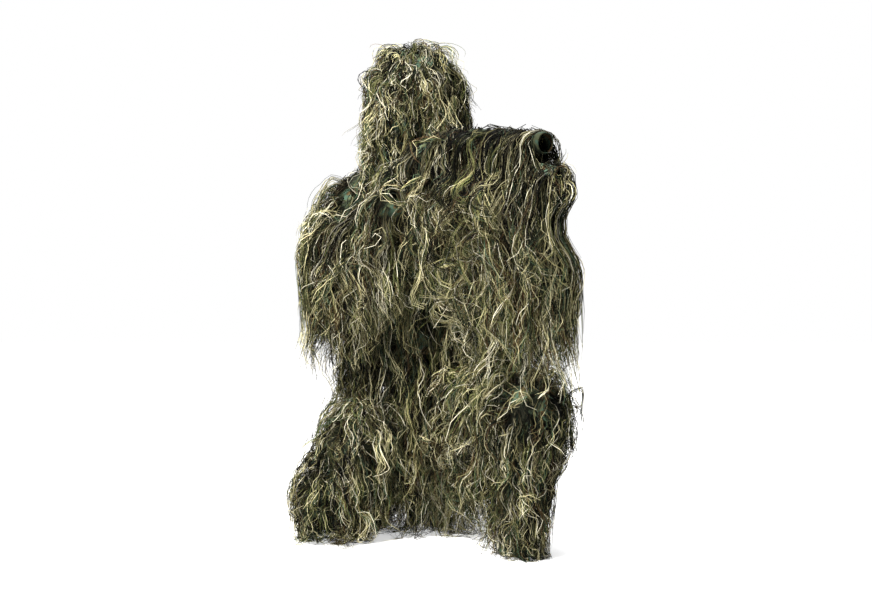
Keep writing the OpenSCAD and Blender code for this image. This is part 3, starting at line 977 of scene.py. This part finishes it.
band("waist_band", "seat", "base", ["waist_elastic"], (0.02, 0.46), -0.005)
band("hem_band", "torso", "torso", ["jacket_hem_elastic"], (0.012, 0.11), -0.005, angles=(290, 610))
band("face_band", "hood", "hood", ["face_elastic"],
     (share_at("hood", 1222), share_at("hood", 1236)), -0.0045, angles=(182, 358))
band("placket_band", "torso", "torso", ["jacket_placket"],
     (share_at("torso", 538), share_at("torso", 915)), -0.0075,
     angles=(262, 280), mat=CAMO, cols=8)
band("wrap_tie_rear", "wrap", "wrap", ["wrap_ties"], (0.28, 0.31), -0.0045, cols=32)
band("wrap_tie_front", "wrap", "wrap", [], (0.72, 0.75), -0.0045, cols=32)
band("sight_band", "sight", "wrap", ["sight_elastic"], (0.92, 0.962), 0.0022, cols=40)


def braid(name, body, node, centre, normal, radius):
    """A round elastic: four cords twisted round a ring of radius mm."""
    twist = 0.0014
    n = unit(normal)
    x = unit(np.cross(n, (0.3, 0.5, 0.8)))
    y = np.cross(n, x)
    t = np.linspace(0, 2 * math.pi, 97)
    out = x * np.cos(t)[:, None] + y * np.sin(t)[:, None]
    lines = []
    for k in range(4):
        a = t * 18 + k * math.pi / 2
        outward = out * (radius / 1000 + twist * np.cos(a))[:, None]
        lines.append(centre + outward + n * (twist * np.sin(a))[:, None])
    o = cord_piece(name, np.array(lines), 0.0013, ELASTIC)
    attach(o, body)
    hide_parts(node)


braid("right_cuff_braid", "right_fore", "right_cuff_elastic",
      RIGHT_ARM[1] + unit(RIGHT_ARM[2] - RIGHT_ARM[1]) * 0.280, RIGHT_ARM[2] - RIGHT_ARM[1], 31.5)
braid("left_cuff_braid", "left_fore", "left_cuff_elastic",
      LEFT_ARM[1] + unit(LEFT_ARM[2] - LEFT_ARM[1]) * 0.210, LEFT_ARM[2] - LEFT_ARM[1], 31.5)
braid("right_ankle_braid", "base", "right_ankle_elastic",
      RIGHT_LEG[1] + unit(RIGHT_LEG[2] - RIGHT_LEG[1]) * 0.396, RIGHT_LEG[2] - RIGHT_LEG[1], 40)


def foot_strap():
    """The strap under the instep: down one side, under, and up the other."""
    quarter = np.linspace(math.pi, 1.5 * math.pi, 6)
    corner = [(-38 + 6.5 * math.cos(a), 7.75 + 6.5 * math.sin(a)) for a in quarter]
    left = [(-44.5, z) for z in np.linspace(62, 12, 8)] + corner
    path = left + [(x, 1.25) for x in np.linspace(-28, 28, 6)] + [(-x, z) for x, z in reversed(left)]
    pts = np.array([[vec(212 + x, -335 + y, z) for y in np.linspace(-13, 13, 5)] for x, z in path])
    o = grid_piece("foot_strap_webbing", pts, False, ELASTIC, 2.4)
    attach(o, "left_shin")
    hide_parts("left_foot_strap")


foot_strap()

FRINGE_NODES = {
    "torso": ["torso_fringe"],
    "seat": ["seat_fringe"],
    "hood": ["hood_fringe"],
    "right_upper": ["right_upper_sleeve_fringe", "right_sleeve_curtain"],
    "right_fore": ["right_forearm_fringe"],
    "left_upper": ["left_upper_sleeve_fringe"],
    "left_fore": ["left_forearm_fringe", "left_sleeve_curtain"],
    "wrap": ["wrap_fringe", "wrap_near_curtain"],
    "far": ["wrap_far_curtain"],
    "sight": ["sight_fringe"],
    "right_thigh": ["right_thigh_fringe"],
    "right_shin": ["right_shin_fringe"],
    "left_thigh": ["left_thigh_fringe"],
    "left_shin": ["left_shin_fringe"],
    "face": ["face_fringe"],
}
for name, nodes in FRINGE_NODES.items():
    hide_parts(*nodes)

studs = bpy.data.objects["press_studs"]
studs.data.materials.clear()
studs.data.materials.append(stud_material())
